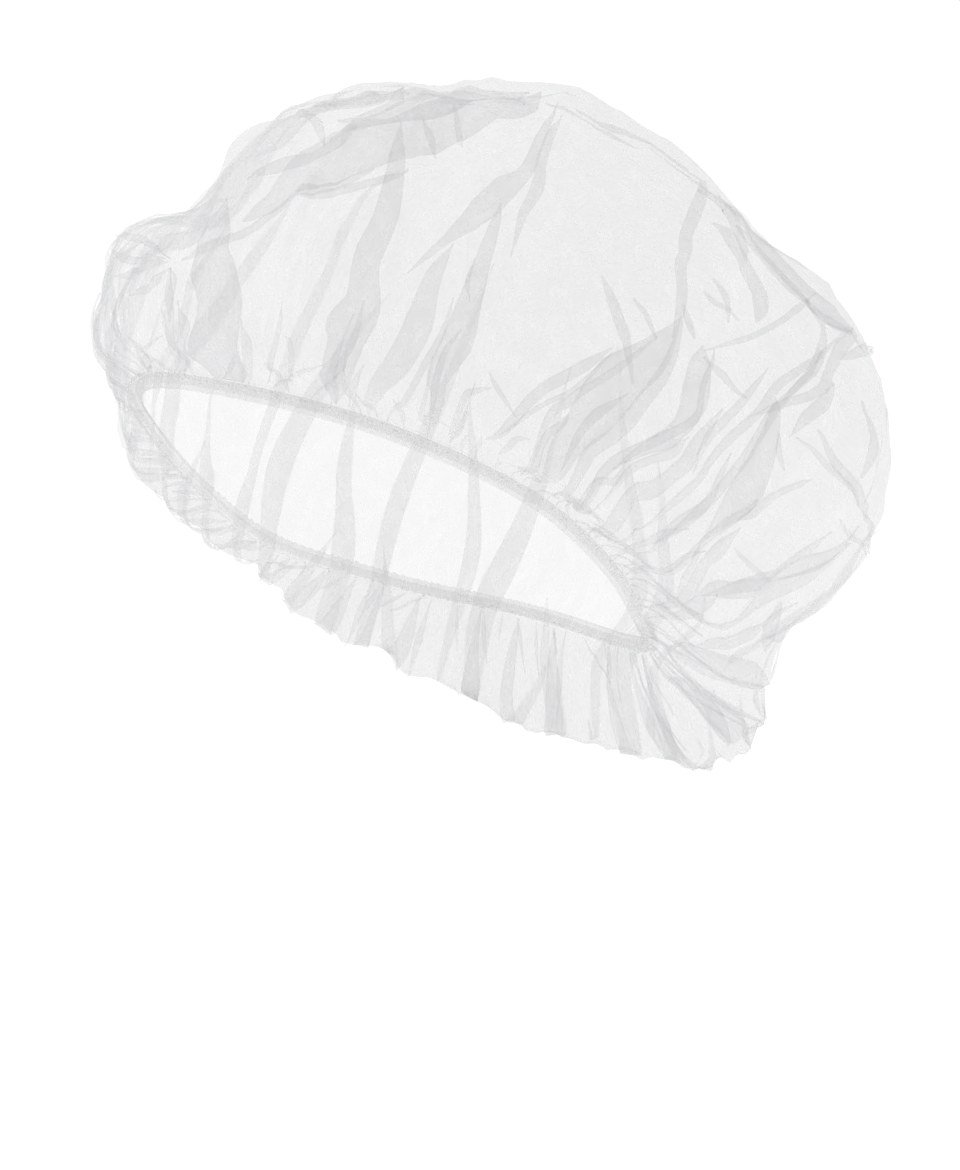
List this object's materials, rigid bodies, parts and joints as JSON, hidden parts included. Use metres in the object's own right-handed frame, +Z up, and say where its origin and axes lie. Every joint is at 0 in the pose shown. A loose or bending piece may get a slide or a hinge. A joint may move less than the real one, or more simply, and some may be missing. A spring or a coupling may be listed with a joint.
{
  "type": "disposable hair cover cap",
  "caption": "Thin white nonwoven bouffant cap in its worn form: a gathered cloth bag on an elastic hem with an open head hollow",
  "frame": {"origin": "centre of the head opening, the loop of the hem where a head goes in", "axes": "+Z up as worn, -Y towards the forehead, +X towards the wearer's left"},
  "size_m": [0.2602, 0.2477, 0.2487],
  "materials": {
    "crown_cloth": "thin see-through white spunbond nonwoven, matt, papery, with fine fibres, small bond points and crisp folds",
    "hem_cloth": "the same nonwoven folded double and finely gathered, with small bright weld points along its upper edge",
    "elastic": "matt white flat elastic tape inside the hem"
  },
  "bodies": {
    "root": {"crown": "crown_cloth", "hem_casing": "hem_cloth", "elastic_band": "elastic"}
  },
  "joints": []
}
